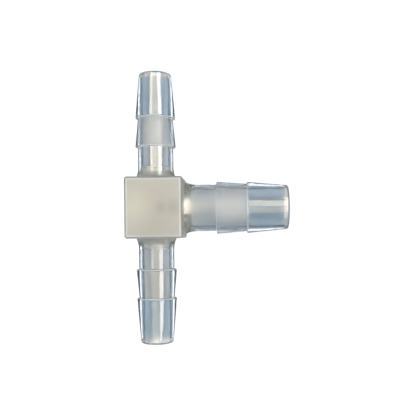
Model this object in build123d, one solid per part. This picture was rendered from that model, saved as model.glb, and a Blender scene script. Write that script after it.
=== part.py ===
from build123d import *
from dataclasses import dataclass
import os

# Reducing barbed tee for soft irrigation hose, made by the real object's way of working: a hollow
# hub block with two equal small hose tails in line (the run, along Y) and one larger hose tail
# square to them (the branch, along +X). The fitting is one moulding, so its regions meet face to
# face and nothing moves.
#
# Millimetres. The origin is the point where the run's axis and the branch's axis cross. +Z is up:
# the tee lies on the back face of its hub.

# Hub block: a box with rounded edges, measured from the crossing point
HUB_RUN_REACH = 5.35
HUB_BRANCH_REACH = 5.1
HUB_CLOSED_REACH = 4.9
HUB_HALF_DEPTH = 5.15
HUB_EDGE_RADIUS = 0.4

# Small radii that every hose tail shares
BARB_EDGE_RADIUS = 0.1
TIP_NOSE_RADIUS = 0.45
BORE_LEAD_IN = 0.15


@dataclass
class HoseTail:
    """One hose tail's sizes. Stations are distances from the crossing point along its own axis."""

    hub_face: float
    flare_end: float
    inner_shoulder: float
    outer_shoulder: float
    tip: float
    foot_radius: float
    neck_radius: float
    inner_barb_radius: float
    inner_barb_end_radius: float
    outer_barb_radius: float
    tip_radius: float
    bore_radius: float


# The run's tails take a hose of 6 mm bore, and the branch's takes one of 8 mm bore.
RUN_TAIL = HoseTail(
    hub_face=HUB_RUN_REACH,
    flare_end=7.5,
    inner_shoulder=10.95,
    outer_shoulder=16.1,
    tip=24.1,
    foot_radius=3.6,
    neck_radius=3.13,
    inner_barb_radius=3.59,
    inner_barb_end_radius=3.1,
    outer_barb_radius=3.54,
    tip_radius=2.86,
    bore_radius=2.25,
)
BRANCH_TAIL = HoseTail(
    hub_face=HUB_BRANCH_REACH,
    flare_end=7.5,
    inner_shoulder=10.9,
    outer_shoulder=16.35,
    tip=23.7,
    foot_radius=4.7,
    neck_radius=4.165,
    inner_barb_radius=4.665,
    inner_barb_end_radius=4.25,
    outer_barb_radius=4.575,
    tip_radius=3.935,
    bore_radius=3.25,
)


def make_hub():
    """The block that the three passages cross in: the run's bore goes right through it, and the
    branch's bore comes in from one side and stops on the run's axis."""
    block = Box(
        HUB_CLOSED_REACH + HUB_BRANCH_REACH,
        2 * HUB_RUN_REACH,
        2 * HUB_HALF_DEPTH,
    )
    block = fillet(block.edges(), HUB_EDGE_RADIUS)
    block = Pos((HUB_BRANCH_REACH - HUB_CLOSED_REACH) / 2, 0, 0) * block
    run_bore = Rot(90, 0, 0) * Cylinder(RUN_TAIL.bore_radius, 2 * HUB_RUN_REACH)
    branch_bore = Rot(0, 90, 0) * Cylinder(
        BRANCH_TAIL.bore_radius,
        HUB_BRANCH_REACH,
        align=(Align.CENTER, Align.CENTER, Align.MIN),
    )
    return block - run_bore - branch_bore


def make_tail(tail):
    """A hose tail along +X: a flare out of the hub, a straight neck, and two barbs that taper
    towards the tip, each with a square shoulder on its hub side that holds the hose on."""
    flare = TangentArc(
        (tail.flare_end, tail.neck_radius),
        (tail.hub_face, tail.foot_radius),
        tangent=(-1, 0),
    )
    neck_to_bore = FilletPolyline(
        (tail.flare_end, tail.neck_radius),
        (tail.inner_shoulder, tail.neck_radius),
        (tail.inner_shoulder, tail.inner_barb_radius),
        (tail.outer_shoulder, tail.inner_barb_end_radius),
        (tail.outer_shoulder, tail.outer_barb_radius),
        (tail.tip, tail.tip_radius),
        (tail.tip, tail.bore_radius + BORE_LEAD_IN),
        (tail.tip - BORE_LEAD_IN, tail.bore_radius),
        (tail.hub_face, tail.bore_radius),
        radius=(
            BARB_EDGE_RADIUS,
            BARB_EDGE_RADIUS,
            BARB_EDGE_RADIUS,
            BARB_EDGE_RADIUS,
            TIP_NOSE_RADIUS,
            0,
            0,
        ),
    )
    foot = Line((tail.hub_face, tail.bore_radius), (tail.hub_face, tail.foot_radius))
    half_section = make_face([flare, neck_to_bore, foot])
    return revolve(half_section, Axis.X)


sub_parts = {
    "hub_block": make_hub(),
    "upper_run_tail": Rot(0, 0, 90) * make_tail(RUN_TAIL),
    "lower_run_tail": Rot(0, 0, -90) * make_tail(RUN_TAIL),
    "branch_tail": make_tail(BRANCH_TAIL),
}

os.makedirs("parts", exist_ok=True)
for node, shape in sub_parts.items():
    shape.label = node
    export_step(shape, f"parts/{node}.step")
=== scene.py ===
import math

import bmesh
import bpy
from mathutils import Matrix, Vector


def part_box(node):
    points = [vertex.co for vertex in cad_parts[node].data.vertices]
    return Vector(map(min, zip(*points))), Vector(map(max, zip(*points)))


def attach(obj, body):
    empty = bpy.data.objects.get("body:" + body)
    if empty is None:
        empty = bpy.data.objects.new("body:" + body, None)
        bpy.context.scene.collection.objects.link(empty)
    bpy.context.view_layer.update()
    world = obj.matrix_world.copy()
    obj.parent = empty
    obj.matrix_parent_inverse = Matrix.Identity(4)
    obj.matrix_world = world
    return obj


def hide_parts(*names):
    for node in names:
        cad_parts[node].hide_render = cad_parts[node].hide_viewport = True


# Barbed tee of milky, see-through polypropylene, on a light table. The CAD model's four nodes are
# regions of one moulding, so a single closed mesh stands for them all: see-through plastic with
# faces inside it, where two regions meet, would show those faces.

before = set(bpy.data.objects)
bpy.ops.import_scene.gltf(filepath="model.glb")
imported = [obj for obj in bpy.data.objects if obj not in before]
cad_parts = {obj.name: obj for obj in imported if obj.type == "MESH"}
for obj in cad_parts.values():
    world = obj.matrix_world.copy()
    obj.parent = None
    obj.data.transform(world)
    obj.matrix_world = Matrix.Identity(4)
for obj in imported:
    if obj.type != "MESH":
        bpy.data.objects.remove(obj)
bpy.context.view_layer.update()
hub_low, hub_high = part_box("hub_block")
run_low, run_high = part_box("upper_run_tail")
branch_low, branch_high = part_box("branch_tail")

MM = 0.001

# ---------------------------------------------------------------------------
# Sizes
# ---------------------------------------------------------------------------

AROUND = 128                # steps round each tail; a quarter of them lie along each hub edge
ALONG_EDGE = AROUND // 4
ROUNDING_STEPS = 6
FLARE_STEPS = 16
OUTLINE_STEP = 0.6 * MM
FACE_STEPS = 6              # from a tail's round foot out to the hub's edges
SHARP_ANGLE = math.radians(40)
HUB_ROUNDING = 0.4 * MM
TIP_NOSE = 0.45 * MM
BARB_ROUNDING = 0.1 * MM
BORE_LIP = 0.15 * MM
RUN_BORE = 2.25 * MM
BRANCH_BORE = 3.25 * MM
# The front and back faces fall away a little towards each edge that a tail stands beside.
EDGE_SINK_DEPTH = 0.16 * MM
EDGE_SINK_WIDTH = 0.9 * MM
EDGE_SINK_TAPER = 1.5       # how fast the sink dies out towards the corners

RUN_TAIL = {
    "face": run_low.y,
    "flare_end": 7.5 * MM,
    "inner_shoulder": 10.95 * MM,
    "outer_shoulder": 16.1 * MM,
    "tip": run_high.y,
    "foot": 3.6 * MM,
    "foot_fillet": 0.15 * MM,
    "neck": 3.13 * MM,
    "inner_barb": 3.59 * MM,
    "inner_barb_end": 3.1 * MM,
    "outer_barb": 3.54 * MM,
    "tip_radius": 2.86 * MM,
    "bore": RUN_BORE,
}
BRANCH_TAIL = {
    "face": branch_low.x,
    "flare_end": 7.5 * MM,
    "inner_shoulder": 10.9 * MM,
    "outer_shoulder": 16.35 * MM,
    "tip": branch_high.x,
    "foot": 4.7 * MM,
    "foot_fillet": 0.04 * MM,
    "neck": 4.165 * MM,
    "inner_barb": 4.665 * MM,
    "inner_barb_end": 4.25 * MM,
    "outer_barb": 4.575 * MM,
    "tip_radius": 3.935 * MM,
    "bore": BRANCH_BORE,
}

# ---------------------------------------------------------------------------
# Mesh tools
# ---------------------------------------------------------------------------


class MeshBuilder:
    """Points and faces of one mesh, gathered strip by strip. Strips that share an edge repeat its
    points, and build() welds them."""

    WELD = 0.001 * MM

    def __init__(self):
        self.points = []
        self.faces = []

    def add_points(self, points):
        first = len(self.points)
        self.points.extend(points)
        return list(range(first, len(self.points)))

    def strip(self, one, two, closed=False):
        """Quads between two rows of the same length."""
        a, b = self.add_points(one), self.add_points(two)
        for i in range(len(a) if closed else len(a) - 1):
            j = (i + 1) % len(a)
            self.faces.append((a[i], a[j], b[j], b[i]))

    def strips(self, rows, closed=False):
        for one, two in zip(rows, rows[1:]):
            self.strip(one, two, closed)

    def stitch(self, one, one_angles, two, two_angles):
        """Triangles between two closed rings with different numbers of points, by angle."""
        a, b = self.add_points(one), self.add_points(two)
        i = j = 0
        while i < len(a) or j < len(b):
            next_a = one_angles[i + 1] if i + 1 < len(a) else one_angles[0] + math.tau
            next_b = two_angles[j + 1] if j + 1 < len(b) else two_angles[0] + math.tau
            if j == len(b) or (i < len(a) and next_a <= next_b):
                self.faces.append((a[i % len(a)], a[(i + 1) % len(a)], b[j % len(b)]))
                i += 1
            else:
                self.faces.append((a[i % len(a)], b[(j + 1) % len(b)], b[j % len(b)]))
                j += 1

    def build(self, name):
        mesh = bpy.data.meshes.new(name)
        mesh.from_pydata(self.points, [], self.faces)
        work = bmesh.new()
        work.from_mesh(mesh)
        bmesh.ops.remove_doubles(work, verts=work.verts, dist=self.WELD)
        bmesh.ops.dissolve_degenerate(work, edges=work.edges, dist=self.WELD / 10)
        bmesh.ops.recalc_face_normals(work, faces=work.faces)
        work.to_mesh(mesh)
        work.free()
        return mesh


def arc(centre, radius, start, end, steps):
    """Points of an arc in the half-section, from one angle to another, in radians."""
    turns = [start + (end - start) * i / steps for i in range(steps + 1)]
    return [(centre[0] + radius * math.cos(t), centre[1] + radius * math.sin(t)) for t in turns]


def round_corner(before, corner, after, radius, steps):
    """The points that replace a corner of an outline by an arc that is tangent to both its lines."""
    p, a, b = Vector(corner), Vector(before), Vector(after)
    to_a, to_b = (a - p).normalized(), (b - p).normalized()
    half = to_a.angle(to_b) / 2
    centre = p + (to_a + to_b).normalized() * (radius / math.sin(half))
    first = p + to_a * (radius / math.tan(half)) - centre
    last = p + to_b * (radius / math.tan(half)) - centre
    start = math.atan2(first.y, first.x)
    turn = (math.atan2(last.y, last.x) - start + math.pi) % math.tau - math.pi
    return arc(centre, radius, start, start + turn, steps)


def spaced(start, end, steps):
    """Points on a straight line of the outline, both ends left out."""
    return [
        (start[0] + (end[0] - start[0]) * i / steps, start[1] + (end[1] - start[1]) * i / steps)
        for i in range(1, steps)
    ]


# ---------------------------------------------------------------------------
# Hose tails
# ---------------------------------------------------------------------------


def flare_points(tail):
    """The hollow curve from the hub's face to the neck, with a small fillet where it leaves the
    face. It is tangent to the neck."""
    run = tail["flare_end"] - tail["face"]
    rise = tail["foot"] - tail["neck"]
    radius = (run * run + rise * rise) / (2 * rise)
    centre = (tail["flare_end"], tail["neck"] + radius)
    small = tail["foot_fillet"]
    # The fillet's centre is its own radius out from the face, and that much nearer to the flare's
    # centre than the flare is.
    fillet_x = tail["face"] + small
    across = radius - small
    fillet_r = centre[1] - math.sqrt(across * across - (centre[0] - fillet_x) ** 2)
    touch = math.atan2(fillet_r - centre[1], fillet_x - centre[0])
    fillet = arc((fillet_x, fillet_r), small, math.pi, touch + math.tau, ROUNDING_STEPS)
    return fillet + arc(centre, radius, touch, -math.pi / 2, FLARE_STEPS)[1:]


def outer_outline(tail):
    """Half-section of a tail's outside, from the hub's face to the lip of its bore, as (distance
    along the axis, radius) points."""
    corners = [
        ((tail["inner_shoulder"], tail["neck"]), BARB_ROUNDING),
        ((tail["inner_shoulder"], tail["inner_barb"]), BARB_ROUNDING),
        ((tail["outer_shoulder"], tail["inner_barb_end"]), BARB_ROUNDING),
        ((tail["outer_shoulder"], tail["outer_barb"]), BARB_ROUNDING),
        ((tail["tip"], tail["tip_radius"]), TIP_NOSE),
        ((tail["tip"], tail["bore"]), BORE_LIP),
    ]
    outline = flare_points(tail)
    stops = [outline[-1]] + [corner for corner, _ in corners] + [(tail["face"], tail["bore"])]
    for i, (corner, radius) in enumerate(corners):
        steps = 2 * ROUNDING_STEPS if radius == TIP_NOSE else ROUNDING_STEPS
        bend = round_corner(stops[i], corner, stops[i + 2], radius, steps)
        length = math.dist(outline[-1], bend[0])
        outline += spaced(outline[-1], bend[0], max(1, round(length / OUTLINE_STEP)))
        outline += bend
    return outline


def ring_angles():
    """Angles round a tail. The first one points at a corner of the hub's face."""
    return [math.tau * (k / AROUND + 1 / 8) for k in range(AROUND)]


def place(axis, along, u, v):
    """A point at a distance along a tail's axis, with u and v across it."""
    return {"+x": (along, u, v), "+y": (u, along, v), "-y": (u, -along, v)}[axis]


def ring(axis, along, radius):
    return [place(axis, along, radius * math.cos(t), radius * math.sin(t)) for t in ring_angles()]


# ---------------------------------------------------------------------------
# Hub block
# ---------------------------------------------------------------------------


def stops(low, high):
    """Where the grid lines of a face stand: even steps across its flat middle, and steps of equal
    turn across the rounding at each side."""
    turn = [math.tan(math.pi / 4 * i / ROUNDING_STEPS) for i in range(ROUNDING_STEPS + 1)]
    before = [low + HUB_ROUNDING * (1 - t) for t in reversed(turn)]
    after = [high - HUB_ROUNDING * (1 - t) for t in turn]
    inner_low, inner_high = before[-1], after[0]
    middle = [inner_low + (inner_high - inner_low) * i / ALONG_EDGE for i in range(1, ALONG_EDGE)]
    return before + middle + after


def on_rounded_hub(point):
    """A point of the plain box, moved on to the box with rounded edges."""
    inner = [
        min(max(p, low + HUB_ROUNDING), high - HUB_ROUNDING)
        for p, low, high in zip(point, hub_low, hub_high)
    ]
    away = Vector(point) - Vector(inner)
    return Vector(inner) + away.normalized() * HUB_ROUNDING


def sunk_edge(point):
    """The front and back faces fall away towards the middle of each edge beside a tail."""
    x, y, z = point
    beside_branch = (hub_high.x - x, y / hub_high.y)
    beside_upper = (hub_high.y - y, 2 * (x - hub_low.x) / (hub_high.x - hub_low.x) - 1)
    beside_lower = (y - hub_low.y, beside_upper[1])
    sink = 0
    for distance, share in (beside_branch, beside_upper, beside_lower):
        near = max(0, 1 - distance / EDGE_SINK_WIDTH)
        sink = max(sink, EDGE_SINK_DEPTH * near * near * max(0, 1 - share * share) ** EDGE_SINK_TAPER)
    rim = max(0, 1 - (hub_high.z - abs(z)) / HUB_ROUNDING)
    return (x, y, math.copysign(abs(z) - sink * rim, z))


def add_hub(build):
    grid = [stops(hub_low[i], hub_high[i]) for i in range(3)]
    last = len(grid[0]) - 1
    flat = range(ROUNDING_STEPS, last - ROUNDING_STEPS)
    for normal in range(3):
        u, v = [i for i in range(3) if i != normal]
        for level, far in ((hub_low[normal], False), (hub_high[normal], True)):
            has_tail = normal == 1 or (normal == 0 and far)

            def at(i, j):
                point = [0, 0, 0]
                point[normal], point[u], point[v] = level, grid[u][i], grid[v][j]
                return sunk_edge(on_rounded_hub(point))

            for i in range(last):
                for j in range(last):
                    if has_tail and i in flat and j in flat:
                        continue
                    build.strip([at(i, j), at(i + 1, j)], [at(i, j + 1), at(i + 1, j + 1)])


def add_tail_face(build, axis, tail, u_low, u_high):
    """The flat part of a hub face, from the edges' roundings in to the round foot of its tail."""
    v_high = hub_high.z - HUB_ROUNDING
    us = [u_low + (u_high - u_low) * i / ALONG_EDGE for i in range(ALONG_EDGE + 1)]
    vs = [v_high - 2 * v_high * i / ALONG_EDGE for i in range(ALONG_EDGE + 1)]
    square = [(u, v_high) for u in reversed(us[1:])]
    square += [(u_low, v) for v in vs[:-1]]
    square += [(u, -v_high) for u in us[:-1]]
    square += [(u_high, v) for v in reversed(vs[1:])]
    foot = flare_points(tail)[0][1]
    rows = []
    for step in range(FACE_STEPS + 1):
        t = step / FACE_STEPS
        rows.append(
            [
                place(
                    axis,
                    tail["face"],
                    (1 - t) * foot * math.cos(a) + t * u,
                    (1 - t) * foot * math.sin(a) + t * v,
                )
                for a, (u, v) in zip(ring_angles(), square)
            ]
        )
    build.strips(rows, closed=True)


# ---------------------------------------------------------------------------
# Passages
# ---------------------------------------------------------------------------

TUBE_STEPS = 40             # rings along the plain part of a bore
CROSS_STEPS = 12            # rings between a plain ring of the run's bore and the crossing
END_STEPS = 32              # steps across the branch bore's flat end
CROSS_START = 5 * MM        # the run's bore is a plain tube further out than this
BRANCH_START = 3 * MM       # and so is the branch's further out than this
HALF_ROUND = AROUND // 2    # steps round half a bore
CORNER_Y = math.sqrt(BRANCH_BORE**2 - RUN_BORE**2)


def crossing_y(angle):
    """How far from the branch's axis the run's bore wall ends, at an angle round the run."""
    if math.cos(angle) <= 1e-9:
        return CORNER_Y
    return math.sqrt(BRANCH_BORE**2 - (RUN_BORE * math.sin(angle)) ** 2)


def add_run_bore(build, axis):
    wall_end = RUN_TAIL["tip"] - BORE_LIP
    angles = ring_angles()
    rows = []
    for i in range(TUBE_STEPS + 1):
        y = wall_end + (CROSS_START - wall_end) * i / TUBE_STEPS
        rows.append(ring(axis, y, RUN_BORE))
    for i in range(1, CROSS_STEPS + 1):
        row = []
        for a in angles:
            y = CROSS_START + (crossing_y(a) - CROSS_START) * i / CROSS_STEPS
            row.append(place(axis, y, RUN_BORE * math.cos(a), RUN_BORE * math.sin(a)))
        rows.append(row)
    build.strips(rows, closed=True)


def end_arc_ys():
    """Where the steps across the branch bore's flat end stand, from +Y to -Y."""
    first = math.acos(CORNER_Y / BRANCH_BORE)
    turns = [first + (math.pi - 2 * first) * i / END_STEPS for i in range(END_STEPS + 1)]
    return [BRANCH_BORE * math.cos(t) for t in turns]


def add_crossing(build):
    """The closed side of the run's bore between its two tails, and the branch bore's flat end."""
    half_ring = [math.pi / 2 + math.tau * k / AROUND for k in range(HALF_ROUND + 1)]
    rows = []
    for y in end_arc_ys():
        rows.append([(RUN_BORE * math.cos(a), y, RUN_BORE * math.sin(a)) for a in half_ring])
    build.strips(rows)
    for side in (1, -1):
        line = [(0, y, side * RUN_BORE) for y in end_arc_ys()]
        edge = [(0, y, side * math.sqrt(BRANCH_BORE**2 - y * y)) for y in end_arc_ys()]
        build.strip(line, edge)


def add_branch_bore(build):
    sweep = [math.tau * (k / AROUND - 1 / 4) for k in range(HALF_ROUND + 1)]
    curve = []
    for a in sweep:
        x, z = RUN_BORE * math.cos(a), RUN_BORE * math.sin(a)
        curve.append((max(0, x), math.sqrt(BRANCH_BORE**2 - z * z), z))
    ys = end_arc_ys()[1:-1]
    mouth = list(curve)
    mouth += [(0, y, math.sqrt(BRANCH_BORE**2 - y * y)) for y in ys]
    mouth += [(x, -y, z) for x, y, z in reversed(curve)]
    mouth += [(0, y, -math.sqrt(BRANCH_BORE**2 - y * y)) for y in reversed(ys)]
    first = math.atan2(mouth[0][2], mouth[0][1])
    mouth_angles = [(math.atan2(z, y) - first) % math.tau + first for x, y, z in mouth]
    mouth_angles[0] = first
    angles = ring_angles()
    start = min(range(AROUND), key=lambda k: (angles[k] - first) % math.tau)
    order = [(start + k) % AROUND for k in range(AROUND)]
    plain = ring("+x", BRANCH_START, BRANCH_BORE)
    plain_angles = [(angles[k] - first) % math.tau + first for k in order]
    build.stitch(mouth, mouth_angles, [plain[k] for k in order], plain_angles)
    wall_end = BRANCH_TAIL["tip"] - BORE_LIP
    rows = []
    for i in range(TUBE_STEPS + 1):
        x = BRANCH_START + (wall_end - BRANCH_START) * i / TUBE_STEPS
        rows.append(ring("+x", x, BRANCH_BORE))
    build.strips(rows, closed=True)


def make_tee():
    build = MeshBuilder()
    add_hub(build)
    inner_x = (hub_low.x + HUB_ROUNDING, hub_high.x - HUB_ROUNDING)
    inner_y = (hub_low.y + HUB_ROUNDING, hub_high.y - HUB_ROUNDING)
    for axis, tail, span in (
        ("+y", RUN_TAIL, inner_x),
        ("-y", RUN_TAIL, inner_x),
        ("+x", BRANCH_TAIL, inner_y),
    ):
        build.strips([ring(axis, x, r) for x, r in outer_outline(tail)], closed=True)
        add_tail_face(build, axis, tail, *span)
    add_run_bore(build, "+y")
    add_run_bore(build, "-y")
    add_crossing(build)
    add_branch_bore(build)
    mesh = build.build("tee_moulding")
    mesh.polygons.foreach_set("use_smooth", [True] * len(mesh.polygons))
    mesh.set_sharp_from_angle(angle=SHARP_ANGLE)
    tee = bpy.data.objects.new("tee_moulding", mesh)
    bpy.context.scene.collection.objects.link(tee)
    return tee


tee = make_tee()

# ---------------------------------------------------------------------------
# Plastic
# ---------------------------------------------------------------------------

# Each tail runs through six zones, from the crossing outwards: hub, flare, neck, inner barb, outer
# barb and mouth. The tuples of six below hold a value for each.
MOUTH_LENGTH = 1.3 * MM
ZONE_BLEND = 0.1 * MM
FLARE_FADE = 5.4 * MM       # where the flare's values start to fade into the neck's
BORE_BLEND = 0.05 * MM
# Distances from the crossing between which something fades in or out.
HUB_MARKS = (5.2 * MM, 6.0 * MM)
FLARE_PAINT = (5.0 * MM, 6.6 * MM)
TAIL_PAINT = (7.4 * MM, 7.6 * MM)
RIM_START = (5.8 * MM, 6.8 * MM)

RUN_CLEAR = (0.3, 0.5, 1.0, 0.93, 1.0, 1.0)
RUN_ROUGH = (0.40, 0.05, 0.04, 0.60, 0.04, 0.04)
# The lower tail is the same as the upper one but for its inner barb, which is clear.
LOWER_CLEAR = (0.3, 0.5, 1.0, 1.0, 1.0, 1.0)
LOWER_ROUGH = (0.40, 0.05, 0.04, 0.05, 0.04, 0.04)
BRANCH_CLEAR = (0.3, 0.78, 1.0, 0.92, 1.0, 1.0)
BRANCH_ROUGH = (0.40, 0.0, 0.55, 0.65, 0.05, 0.05)
BORE_CLEAR = 0.9
BORE_ROUGH = (0.5, 0.55, 0.55, 0.65, 0.58, 0.5)
LOWER_BORE_ROUGH = (0.5, 0.55, 0.55, 0.60, 0.58, 0.5)
BORE_SMOOTH = 0.04
RIM_ROUGH = 0.03
DULL_RIM = 0.4              # how much of the smooth rim the upper tail's outer barb keeps
# How far a wall is turned away, from 0 to 1, as the smooth rim and the glossy bore set in.
RIM_TURN = (0.30, 0.42)
BORE_TURN = (0.25, 0.40)

PLAIN_BORE = (0.80, 0.85, 0.89, 1)
MILKY_BORE = (0.88, 0.88, 0.86, 1)
BLUE_BORE = (0.70, 0.83, 0.94, 1)
BORE_COLOURS = (PLAIN_BORE, PLAIN_BORE, PLAIN_BORE, MILKY_BORE, BLUE_BORE, PLAIN_BORE)
HUB_COLOUR = (0.68, 0.65, 0.57, 1)
# Painted glow and painted shade on the hub's front face.
PAINTED_GLOW_COLOUR = (0.82, 0.77, 0.64, 1)
PAINTED_SHADE_COLOUR = (0.56, 0.55, 0.50, 1)
# Painted shade on the hub's rounded edges.
EDGE_SHADE_COLOUR = (0.42, 0.42, 0.41, 1)
FLARE_COLOUR = (0.84, 0.85, 0.84, 1)
SKIN_COLOUR = (0.80, 0.82, 0.84, 1)
ABSORB_COLOUR = (0.62, 0.71, 0.80, 1)
ABSORB_DENSITY = 210
SCATTER_REACH = 1.5 * MM
SCATTER_SHARES = (1.2, 1.1, 1.0)
PLASTIC_IOR = 1.49

# Spots on the hub's front face, where the bores behind it make it warmer or duller: a painted glow and
# painted shade for the light that comes through the block. Place and radius.
PAINTED_GLOW_SPOT = (Vector((-2.9, 0.0, 5.1)) * MM, 4.5 * MM)
PAINTED_SHADE_SPOTS = ((Vector((1.5, 0.0, 5.1)) * MM, 1.8 * MM), (Vector((3.6, 0.0, 5.1)) * MM, 2.2 * MM))

# Painted highlights: light lines along the shoulders and the hub's edges and just inside each mouth,
# which are milkier there as well. Painted shade: a dark ring round each tip, and a greyer band on the
# hub's rounded edges.
LINE_CORE = 0.4             # the share of a line's half width that has its full strength
SHOULDER_HIGHLIGHT_WIDTH = 0.18 * MM
EDGE_SHADE_BAND = (0.2 * MM, 0.33 * MM)
HUB_HIGHLIGHT_INSET = 0.42 * MM
HUB_HIGHLIGHT_WIDTH = 0.2 * MM
HUB_HIGHLIGHT_SHARE = 0.6
HIGHLIGHT_COLOUR = (0.95, 0.94, 0.90, 1)
HIGHLIGHT_CLEAR = 0.35
# Painted highlight: a white ring just inside each mouth.
LIP_BACK = 0.6 * MM
LIP_HIGHLIGHT_WIDTH = 0.4 * MM
LIP_HIGHLIGHT_COLOUR = (0.97, 0.97, 0.95, 1)
LIP_HIGHLIGHT_CLEAR = 0.3
# Painted shade: a dark ring round each tip, for the dark outline there.
NOSE_SHADE_WIDTH = 0.35 * MM
NOSE_SHADE_COLOUR = (0.25, 0.30, 0.36, 1)
NOSE_SHADE_CLEAR = 0.4

# Moulding marks: cloudy haze, faint streaks drawn out along each tail, and a fine grain on the hub.
# A noise scale is in cells a metre.
HAZE_SCALE = 260
HAZE_DETAIL = 3.0
HAZE_RANGE = (0.35, 0.7)
HAZE_SHARE = 0.05
HAZE_ROUGH = 0.05
STREAK_SCALE = 700
STREAK_DETAIL = 1.0
STREAK_RANGE = (0.4, 0.75)
STREAK_STRETCH = 0.06
STREAK_SHARE = 0.04
GRAIN_SCALE = 2600
GRAIN_DETAIL = 2.0
GRAIN_STRENGTH = 0.3
GRAIN_DEPTH = 0.004 * MM


class Nodes:
    """Short ways to add and join shader nodes."""

    def __init__(self, tree):
        self.tree = tree
        tree.nodes.clear()

    def add(self, kind, inputs=None, **settings):
        node = self.tree.nodes.new(kind)
        for name, value in settings.items():
            setattr(node, name, value)
        for name, value in (inputs or {}).items():
            if isinstance(value, bpy.types.NodeSocket):
                self.tree.links.new(value, node.inputs[name])
            else:
                node.inputs[name].default_value = value
        return node

    def math(self, operation, *values):
        return self.add("ShaderNodeMath", dict(enumerate(values)), operation=operation).outputs[0]

    def vector(self, operation, *values, result="Vector"):
        inputs = dict(enumerate(values))
        return self.add("ShaderNodeVectorMath", inputs, operation=operation).outputs[result]

    def join(self, x=0.0, y=0.0, z=0.0):
        return self.add("ShaderNodeCombineXYZ", {0: x, 1: y, 2: z}).outputs[0]

    def scale(self, value, low, high, to_low=0.0, to_high=1.0, **settings):
        limits = {"Value": value, "From Min": low, "From Max": high, "To Min": to_low, "To Max": to_high}
        return self.add("ShaderNodeMapRange", limits, **settings).outputs[0]

    def blend(self, share, first, second):
        return self.add("ShaderNodeMix", {0: share, 6: first, 7: second}, data_type="RGBA").outputs[2]

    def noise(self, place, scale, detail):
        inputs = {"Vector": place, "Scale": scale, "Detail": detail}
        return self.add("ShaderNodeTexNoise", inputs).outputs[0]

    def ramp(self, value, stops):
        node = self.add("ShaderNodeValToRGB", {"Fac": value})
        elements = node.color_ramp.elements
        for i, (position, colour) in enumerate(stops):
            element = elements[i] if i < 2 else elements.new(position)
            element.position = position
            element.color = colour
        return node.outputs["Color"]

    def finish(self, kind, **links):
        """Join shaders to a new output node."""
        output = self.add(kind)
        for name, shader in links.items():
            self.tree.links.new(shader.outputs[0], output.inputs[name])


def grey(value):
    return (value, value, value, 1)


def greys(*tails):
    """A grey for each value of each tail."""
    return [tuple(grey(value) for value in values) for values in tails]


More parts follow.
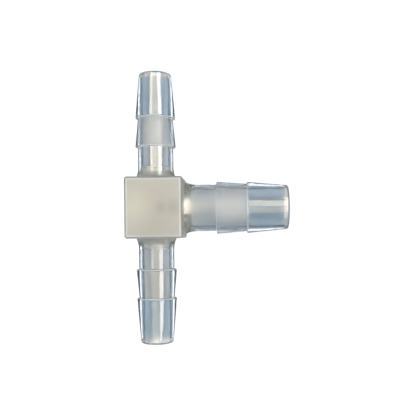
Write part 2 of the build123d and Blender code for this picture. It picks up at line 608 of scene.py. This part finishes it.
class PlasticMasks:
    """Where a point of the moulding is, as sockets of a node tree. Masks run from 0 to 1."""

    def __init__(self, nodes):
        self.nodes = nodes
        self.here = nodes.add("ShaderNodeTexCoord").outputs["Object"]
        split = nodes.add("ShaderNodeSeparateXYZ", {0: self.here})
        self.x, self.y, self.z = (split.outputs[axis] for axis in "XYZ")
        self.along_run = nodes.math("ABSOLUTE", self.y)
        self.station = nodes.math("MAXIMUM", self.along_run, self.x)
        self.is_branch = nodes.math("GREATER_THAN", self.x, self.along_run)
        self.is_lower = nodes.math("LESS_THAN", self.y, 0.0)
        self.on_tail = nodes.scale(self.station, *TAIL_PAINT)
        self.near_hub = nodes.scale(self.station, *HUB_MARKS, 1.0, 0.0)
        self.bore = self.find_bore()
        self.skin = nodes.math("SUBTRACT", 1.0, self.bore)
        self.facing = nodes.add("ShaderNodeLayerWeight", {"Blend": 0.5}).outputs["Facing"]

    def from_axis(self, first, second):
        return self.nodes.vector("LENGTH", self.nodes.join(first, second), result="Value")

    def find_bore(self):
        nodes = self.nodes
        run_depth = nodes.math("SUBTRACT", self.from_axis(self.x, self.z), RUN_BORE + BORE_LIP)
        branch_depth = nodes.math("SUBTRACT", self.from_axis(self.y, self.z), BRANCH_BORE + BORE_LIP)
        behind = nodes.math("MULTIPLY", self.x, -1.0)
        depth = nodes.math("MINIMUM", run_depth, nodes.math("MAXIMUM", branch_depth, behind))
        return nodes.scale(depth, -BORE_BLEND, BORE_BLEND, 1.0, 0.0)

    def zones(self, tail, values):
        mouth = tail["tip"] - MOUTH_LENGTH
        borders = [hub_high.y, tail["flare_end"], tail["inner_shoulder"], tail["outer_shoulder"], mouth]
        stops = [(0.0, values[0])]
        for border, before, after in zip(borders, values, values[1:]):
            start = FLARE_FADE if border == tail["flare_end"] else border - ZONE_BLEND
            stops += [(start / tail["tip"], before), ((border + ZONE_BLEND) / tail["tip"], after)]
        share = self.nodes.math("DIVIDE", self.station, tail["tip"])
        return self.nodes.ramp(share, stops)

    def by_zone(self, upper_values, lower_values, branch_values):
        """The value that the tail a point is on has for the zone it is in."""
        upper, lower = self.zones(RUN_TAIL, upper_values), self.zones(RUN_TAIL, lower_values)
        run = self.nodes.blend(self.is_lower, upper, lower)
        return self.nodes.blend(self.is_branch, run, self.zones(BRANCH_TAIL, branch_values))

    def tail_place(self, name, back=0.0):
        """How far out one of the tail's named places is, on the run or on the branch."""
        gap = BRANCH_TAIL[name] - RUN_TAIL[name]
        on_branch = self.nodes.math("MULTIPLY", self.is_branch, gap)
        return self.nodes.math("ADD", on_branch, RUN_TAIL[name] - back)

    def line(self, value, place, width):
        gap = self.nodes.math("ABSOLUTE", self.nodes.math("SUBTRACT", value, place))
        return self.nodes.scale(gap, LINE_CORE * width, width, 1.0, 0.0)

    def ring(self, name, width, back=0.0):
        return self.line(self.station, self.tail_place(name, back), width)

    def from_hub_edge(self):
        """Distance to the nearest edge of the hub block, for a point on one of its faces."""
        nodes = self.nodes
        middle = (hub_low.x + hub_high.x) / 2
        from_middle = nodes.math("ABSOLUTE", nodes.math("SUBTRACT", self.x, middle))
        to_x = nodes.math("SUBTRACT", hub_high.x - middle, from_middle)
        to_y = nodes.math("SUBTRACT", hub_high.y, self.along_run)
        to_z = nodes.math("SUBTRACT", hub_high.z, nodes.math("ABSOLUTE", self.z))
        nearer, further = nodes.math("MINIMUM", to_x, to_y), nodes.math("MAXIMUM", to_x, to_y)
        return nodes.math("MAXIMUM", nearer, nodes.math("MINIMUM", further, to_z))

    def spot(self, place, radius):
        far = self.nodes.vector("DISTANCE", self.here, place, result="Value")
        return self.nodes.scale(far, 0.0, radius, 1.0, 0.0, interpolation_type="SMOOTHSTEP")

    def streaks(self):
        """Noise that is drawn out along the tail that a point is on."""
        nodes = self.nodes
        off_branch = nodes.math("SUBTRACT", 1.0, self.is_branch)
        across_x = nodes.math("MULTIPLY", off_branch, self.x)
        across_y = nodes.math("MULTIPLY", self.is_branch, self.y)
        across = nodes.join(across_x, across_y, self.z)
        along = nodes.vector("MULTIPLY", self.here, (STREAK_STRETCH,) * 3)
        return nodes.noise(nodes.vector("ADD", across, along), STREAK_SCALE, STREAK_DETAIL)


def make_plastic():
    material = bpy.data.materials.new("natural_polypropylene")
    material.use_nodes = True
    nodes = Nodes(material.node_tree)
    at = PlasticMasks(nodes)

    # Lines: painted highlights along the hub's edges, the shoulders and inside each mouth, and painted
    # shade round each tip.
    on_hub = nodes.math("LESS_THAN", at.station, hub_high.y)
    from_edge = at.from_hub_edge()
    hub_highlight = nodes.math("MULTIPLY", at.line(from_edge, HUB_HIGHLIGHT_INSET, HUB_HIGHLIGHT_WIDTH), on_hub)
    hub_highlight = nodes.math("MULTIPLY", hub_highlight, HUB_HIGHLIGHT_SHARE)
    inner, outer = at.ring("inner_shoulder", SHOULDER_HIGHLIGHT_WIDTH), at.ring("outer_shoulder", SHOULDER_HIGHLIGHT_WIDTH)
    highlight_lines = nodes.math("MAXIMUM", nodes.math("MAXIMUM", inner, outer), hub_highlight)
    highlight_lines = nodes.math("MULTIPLY", highlight_lines, at.skin)
    lip_highlight = nodes.math("MULTIPLY", at.ring("tip", LIP_HIGHLIGHT_WIDTH, LIP_BACK), at.bore)
    nose_shade = nodes.math("MULTIPLY", at.ring("tip", NOSE_SHADE_WIDTH), at.skin)

    # Colour.
    # Painted glow and painted shade on the hub's front face.
    body = nodes.blend(at.spot(*PAINTED_GLOW_SPOT), HUB_COLOUR, PAINTED_GLOW_COLOUR)
    painted_shade = nodes.math("MAXIMUM", at.spot(*PAINTED_SHADE_SPOTS[0]), at.spot(*PAINTED_SHADE_SPOTS[1]))
    body = nodes.blend(painted_shade, body, PAINTED_SHADE_COLOUR)
    # Painted shade: a greyer band on the hub's rounded edges, for the dark outline round the block.
    fillet = nodes.math("MULTIPLY", nodes.scale(from_edge, *EDGE_SHADE_BAND, 1.0, 0.0), on_hub)
    body = nodes.blend(fillet, body, EDGE_SHADE_COLOUR)
    body = nodes.blend(nodes.scale(at.station, *FLARE_PAINT), body, FLARE_COLOUR)
    tail = nodes.blend(at.bore, SKIN_COLOUR, at.by_zone(BORE_COLOURS, BORE_COLOURS, BORE_COLOURS))
    colour = nodes.blend(at.on_tail, body, tail)
    # Painted highlights and painted shade laid over the colour.
    for mask, paint in ((highlight_lines, HIGHLIGHT_COLOUR), (lip_highlight, LIP_HIGHLIGHT_COLOUR), (nose_shade, NOSE_SHADE_COLOUR)):
        colour = nodes.blend(mask, colour, paint)

    # Clearness. The glassy rim is where the skin turns away, past the edge of the bore behind it.
    rim = nodes.math("MULTIPLY", nodes.scale(at.facing, *RIM_TURN), nodes.scale(at.station, *RIM_START))
    shoulder = RUN_TAIL["outer_shoulder"]
    dulled = nodes.scale(at.y, shoulder - ZONE_BLEND, shoulder + ZONE_BLEND, 1.0, DULL_RIM)
    rim = nodes.math("MULTIPLY", rim, dulled)
    clear = nodes.blend(rim, at.by_zone(*greys(RUN_CLEAR, LOWER_CLEAR, BRANCH_CLEAR)), grey(1.0))
    shares = ((at.bore, BORE_CLEAR), (highlight_lines, HIGHLIGHT_CLEAR), (lip_highlight, LIP_HIGHLIGHT_CLEAR), (nose_shade, NOSE_SHADE_CLEAR))
    for mask, share in shares:
        clear = nodes.math("MULTIPLY", clear, nodes.scale(mask, 0.0, 1.0, 1.0, share))
    haze = nodes.noise(at.here, HAZE_SCALE, HAZE_DETAIL)
    hazy = nodes.scale(haze, *HAZE_RANGE, 0.0, HAZE_SHARE)
    streaky = nodes.scale(at.streaks(), *STREAK_RANGE, 0.0, STREAK_SHARE)
    cloudy = nodes.math("ADD", hazy, streaky)
    clear = nodes.math("MULTIPLY", clear, nodes.math("SUBTRACT", 1.0, cloudy))

    # Roughness. The bore's wall is matt, and glossy where it is seen at a slant.
    skin_zones = at.by_zone(*greys(RUN_ROUGH, LOWER_ROUGH, BRANCH_ROUGH))
    skin_rough = nodes.blend(rim, skin_zones, grey(RIM_ROUGH))
    bore_zones = at.by_zone(*greys(BORE_ROUGH, LOWER_BORE_ROUGH, BORE_ROUGH))
    head_on = nodes.scale(at.facing, *BORE_TURN, 1.0, 0.0)
    bore_rough = nodes.blend(head_on, grey(BORE_SMOOTH), bore_zones)
    uneven = nodes.scale(haze, *HAZE_RANGE, -HAZE_ROUGH, HAZE_ROUGH)
    uneven = nodes.math("MULTIPLY", uneven, at.near_hub)
    rough = nodes.math("ADD", nodes.blend(at.bore, skin_rough, bore_rough), uneven)

    grain = nodes.math("MULTIPLY", nodes.noise(at.here, GRAIN_SCALE, GRAIN_DETAIL), at.near_hub)
    relief = nodes.add(
        "ShaderNodeBump", {"Height": grain, "Strength": GRAIN_STRENGTH, "Distance": GRAIN_DEPTH}
    )
    surface = nodes.add(
        "ShaderNodeBsdfPrincipled",
        {
            "Base Color": colour,
            "Normal": relief.outputs[0],
            "Roughness": rough,
            "IOR": PLASTIC_IOR,
            "Transmission Weight": clear,
            "Subsurface Weight": 1.0,
            "Subsurface Radius": SCATTER_SHARES,
            "Subsurface Scale": SCATTER_REACH,
        },
    )
    inside = nodes.add("ShaderNodeVolumeAbsorption", {"Color": ABSORB_COLOUR, "Density": ABSORB_DENSITY})
    nodes.finish("ShaderNodeOutputMaterial", Surface=surface, Volume=inside)
    return material


tee.data.materials.append(make_plastic())
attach(tee, "root")
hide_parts("hub_block", "upper_run_tail", "lower_run_tail", "branch_tail")

# ---------------------------------------------------------------------------
# Light table, lights and camera
# ---------------------------------------------------------------------------

# The part lies on a glowing white table, and each surface of the stage is met by only some kinds of ray.
# The camera and scattered light meet the table. Mirrored rays pass through it to a dark sheet, painted
# shade that they see in place of the table. Rays that come through the plastic pass through both, to a
# painted shadow under the run and another under the branch, dark cards that stand for the part's shadow
# on the table, and past the cards to the world. The painted shadows give the tails their grey bodies and
# dark outlines, and the world's bright patch gives the light line inside each outline. Pale walls that
# only the camera meets hide the world in low views.
CAMERA_ONLY = ("camera",)
FLOOR_HALF = 0.6
WALL_TOP = 1.5
FLOOR_COLOUR = (1.05, 1.05, 1.05, 1)
# Painted shade: a dark sheet that mirrored rays see in place of the glowing table.
SHADE_SHEET_COLOUR = (0.10, 0.12, 0.14, 1)
SHADE_SHEET_DROP = 0.02 * MM
# Painted shadow: dark cards under the tails, seen only through the plastic.
PAINTED_SHADOW_COLOUR = (0.035, 0.042, 0.052, 1)
PAINTED_SHADOW_DROP = 0.05 * MM
RUN_PAINTED_SHADOW = ((-3.6 * MM, -26.2 * MM), (1.9 * MM, 27.4 * MM))
BRANCH_PAINTED_SHADOW = ((3.0 * MM, -3.2 * MM), (25.2 * MM, 3.6 * MM))

# The world's colour by the angle, in degrees, from a direction that is nearly straight down.
HALF_TURN = 180
BELOW = (-0.13, 0.035, -1.0)
WORLD_COLOURS = (
    (0, (2.3, 2.35, 2.4, 1)),
    (20, (2.3, 2.35, 2.4, 1)),
    (31, (0.58, 0.63, 0.68, 1)),
    (50, (0.38, 0.42, 0.47, 1)),
    (85, (0.14, 0.17, 0.20, 1)),
    (95, (0.25, 0.30, 0.35, 1)),
)

# Level softboxes over the part, with their corners in millimetres. The windows and the strips are
# there to be mirrored in the plastic and seen through it, and the overhead one to light it evenly.
WARM_LIGHT = (1.0, 0.83, 0.60)
SOFT_LIGHT = (1.0, 0.97, 0.92)
WHITE_LIGHT = (1.0, 1.0, 1.0)
MIRRORED = ("glossy", "transmission")
ROOF = 300 * MM
STRIP_ROOF = 299 * MM
SOFTBOXES = {
    "window": {
        "low": (-160, 20), "high": (316, 184), "roof": ROOF,
        "watts": 2.0, "colour": WARM_LIGHT, "seen_by": MIRRORED,
    },
    "lower_window": {
        "low": (-160, -156), "high": (316, -4), "roof": ROOF,
        "watts": 0.82, "colour": WARM_LIGHT, "seen_by": MIRRORED,
    },
    "right_strip": {
        "low": (133, -160), "high": (316, 362), "roof": STRIP_ROOF,
        "watts": 3.0, "colour": WHITE_LIGHT, "seen_by": MIRRORED,
    },
    "left_strip": {
        "low": (-160, -40), "high": (-70, 224), "roof": STRIP_ROOF,
        "watts": 0.4, "colour": WHITE_LIGHT, "seen_by": MIRRORED,
    },
    "overhead": {
        "low": (-200, -200), "high": (200, 200), "roof": ROOF,
        "watts": 2.15, "colour": SOFT_LIGHT, "seen_by": ("diffuse",),
    },
}

SENSOR = 36
LENS = 50.6
CLIP_START = 0.005
SHIFT = (-0.0577, 0.0553)
ROLL = math.radians(-0.6)
ASIDE = 13.63 * MM
BACK = 4.07 * MM
UP = 105.3 * MM


def show_to(thing, seen_by):
    """Let only some kinds of ray meet a thing of the stage."""
    for kind in ("camera", "diffuse", "glossy", "transmission"):
        setattr(thing, "visible_" + kind, kind in seen_by)


def rectangle(low, high, level):
    """Four corners of a level rectangle."""
    return [(x, y, level) for x, y in (low, (high[0], low[1]), high, (low[0], high[1]))]


def make_glow(name, points, faces, colour, seen_by):
    """A glowing surface of the stage. Only the kinds of ray in seen_by meet it."""
    mesh = bpy.data.meshes.new(name)
    mesh.from_pydata(points, [], faces)
    material = bpy.data.materials.new(name)
    material.use_nodes = True
    nodes = Nodes(material.node_tree)
    nodes.finish("ShaderNodeOutputMaterial", Surface=nodes.add("ShaderNodeEmission", {"Color": colour}))
    mesh.materials.append(material)
    glow = bpy.data.objects.new(name, mesh)
    bpy.context.scene.collection.objects.link(glow)
    show_to(glow, seen_by)
    glow.visible_shadow = seen_by != CAMERA_ONLY


def make_stage():
    table = hub_low.z
    low, high = (-FLOOR_HALF, -FLOOR_HALF), (FLOOR_HALF, FLOOR_HALF)
    flat = [(0, 1, 2, 3)]
    floor = rectangle(low, high, table)
    make_glow("light_table", floor, flat, FLOOR_COLOUR, ("camera", "diffuse"))
    sides = [(i, (i + 1) % 4, (i + 1) % 4 + 4, i + 4) for i in range(4)]
    make_glow("backdrop", floor + rectangle(low, high, WALL_TOP), sides, FLOOR_COLOUR, CAMERA_ONLY)
    # Painted shade for mirrored rays.
    shade_sheet = rectangle(low, high, table - SHADE_SHEET_DROP)
    make_glow("painted_shade_sheet", shade_sheet, flat, SHADE_SHEET_COLOUR, ("glossy",))
    # Painted shadows under the run and the branch.
    for name, (start, end) in (("run_painted_shadow", RUN_PAINTED_SHADOW), ("branch_painted_shadow", BRANCH_PAINTED_SHADOW)):
        shadow_card = rectangle(start, end, table - PAINTED_SHADOW_DROP)
        make_glow(name, shadow_card, flat, PAINTED_SHADOW_COLOUR, ("transmission",))


def make_softbox(name, low, high, roof, watts, colour, seen_by):
    """A level softbox between two corners, which are in millimetres."""
    light = bpy.data.lights.new(name, "AREA")
    light.shape = "RECTANGLE"
    light.size, light.size_y = ((b - a) * MM for a, b in zip(low, high))
    light.energy = watts
    light.color = colour
    holder = bpy.data.objects.new(name, light)
    middle = [(a + b) / 2 * MM for a, b in zip(low, high)]
    holder.location = (*middle, roof)
    bpy.context.scene.collection.objects.link(holder)
    show_to(holder, seen_by)


def make_world():
    world = bpy.data.worlds.new("studio")
    world.use_nodes = True
    nodes = Nodes(world.node_tree)
    direction = nodes.add("ShaderNodeTexCoord").outputs["Generated"]
    down = nodes.vector("DOT_PRODUCT", direction, Vector(BELOW).normalized(), result="Value")
    angle = nodes.math("DEGREES", nodes.math("ARCCOSINE", down))
    stops = [(degrees / HALF_TURN, colour) for degrees, colour in WORLD_COLOURS]
    colour = nodes.ramp(nodes.math("DIVIDE", angle, HALF_TURN), stops)
    nodes.finish("ShaderNodeOutputWorld", Surface=nodes.add("ShaderNodeBackground", {"Color": colour}))
    bpy.context.scene.world = world


def make_camera():
    camera = bpy.data.cameras.new("camera")
    camera.sensor_width = SENSOR
    camera.lens = LENS
    camera.shift_x, camera.shift_y = SHIFT
    camera.clip_start = CLIP_START
    holder = bpy.data.objects.new("camera", camera)
    right = Vector((math.cos(ROLL), math.sin(ROLL), 0))
    forward = Vector((-math.sin(ROLL), math.cos(ROLL), 0))
    holder.location = right * ASIDE - forward * BACK + Vector((0, 0, UP))
    holder.rotation_euler = (0, 0, ROLL)
    bpy.context.scene.collection.objects.link(holder)
    bpy.context.scene.camera = holder


make_stage()
for name, settings in SOFTBOXES.items():
    make_softbox(name, **settings)
make_world()
make_camera()
bpy.context.scene.view_settings.view_transform = "Standard"
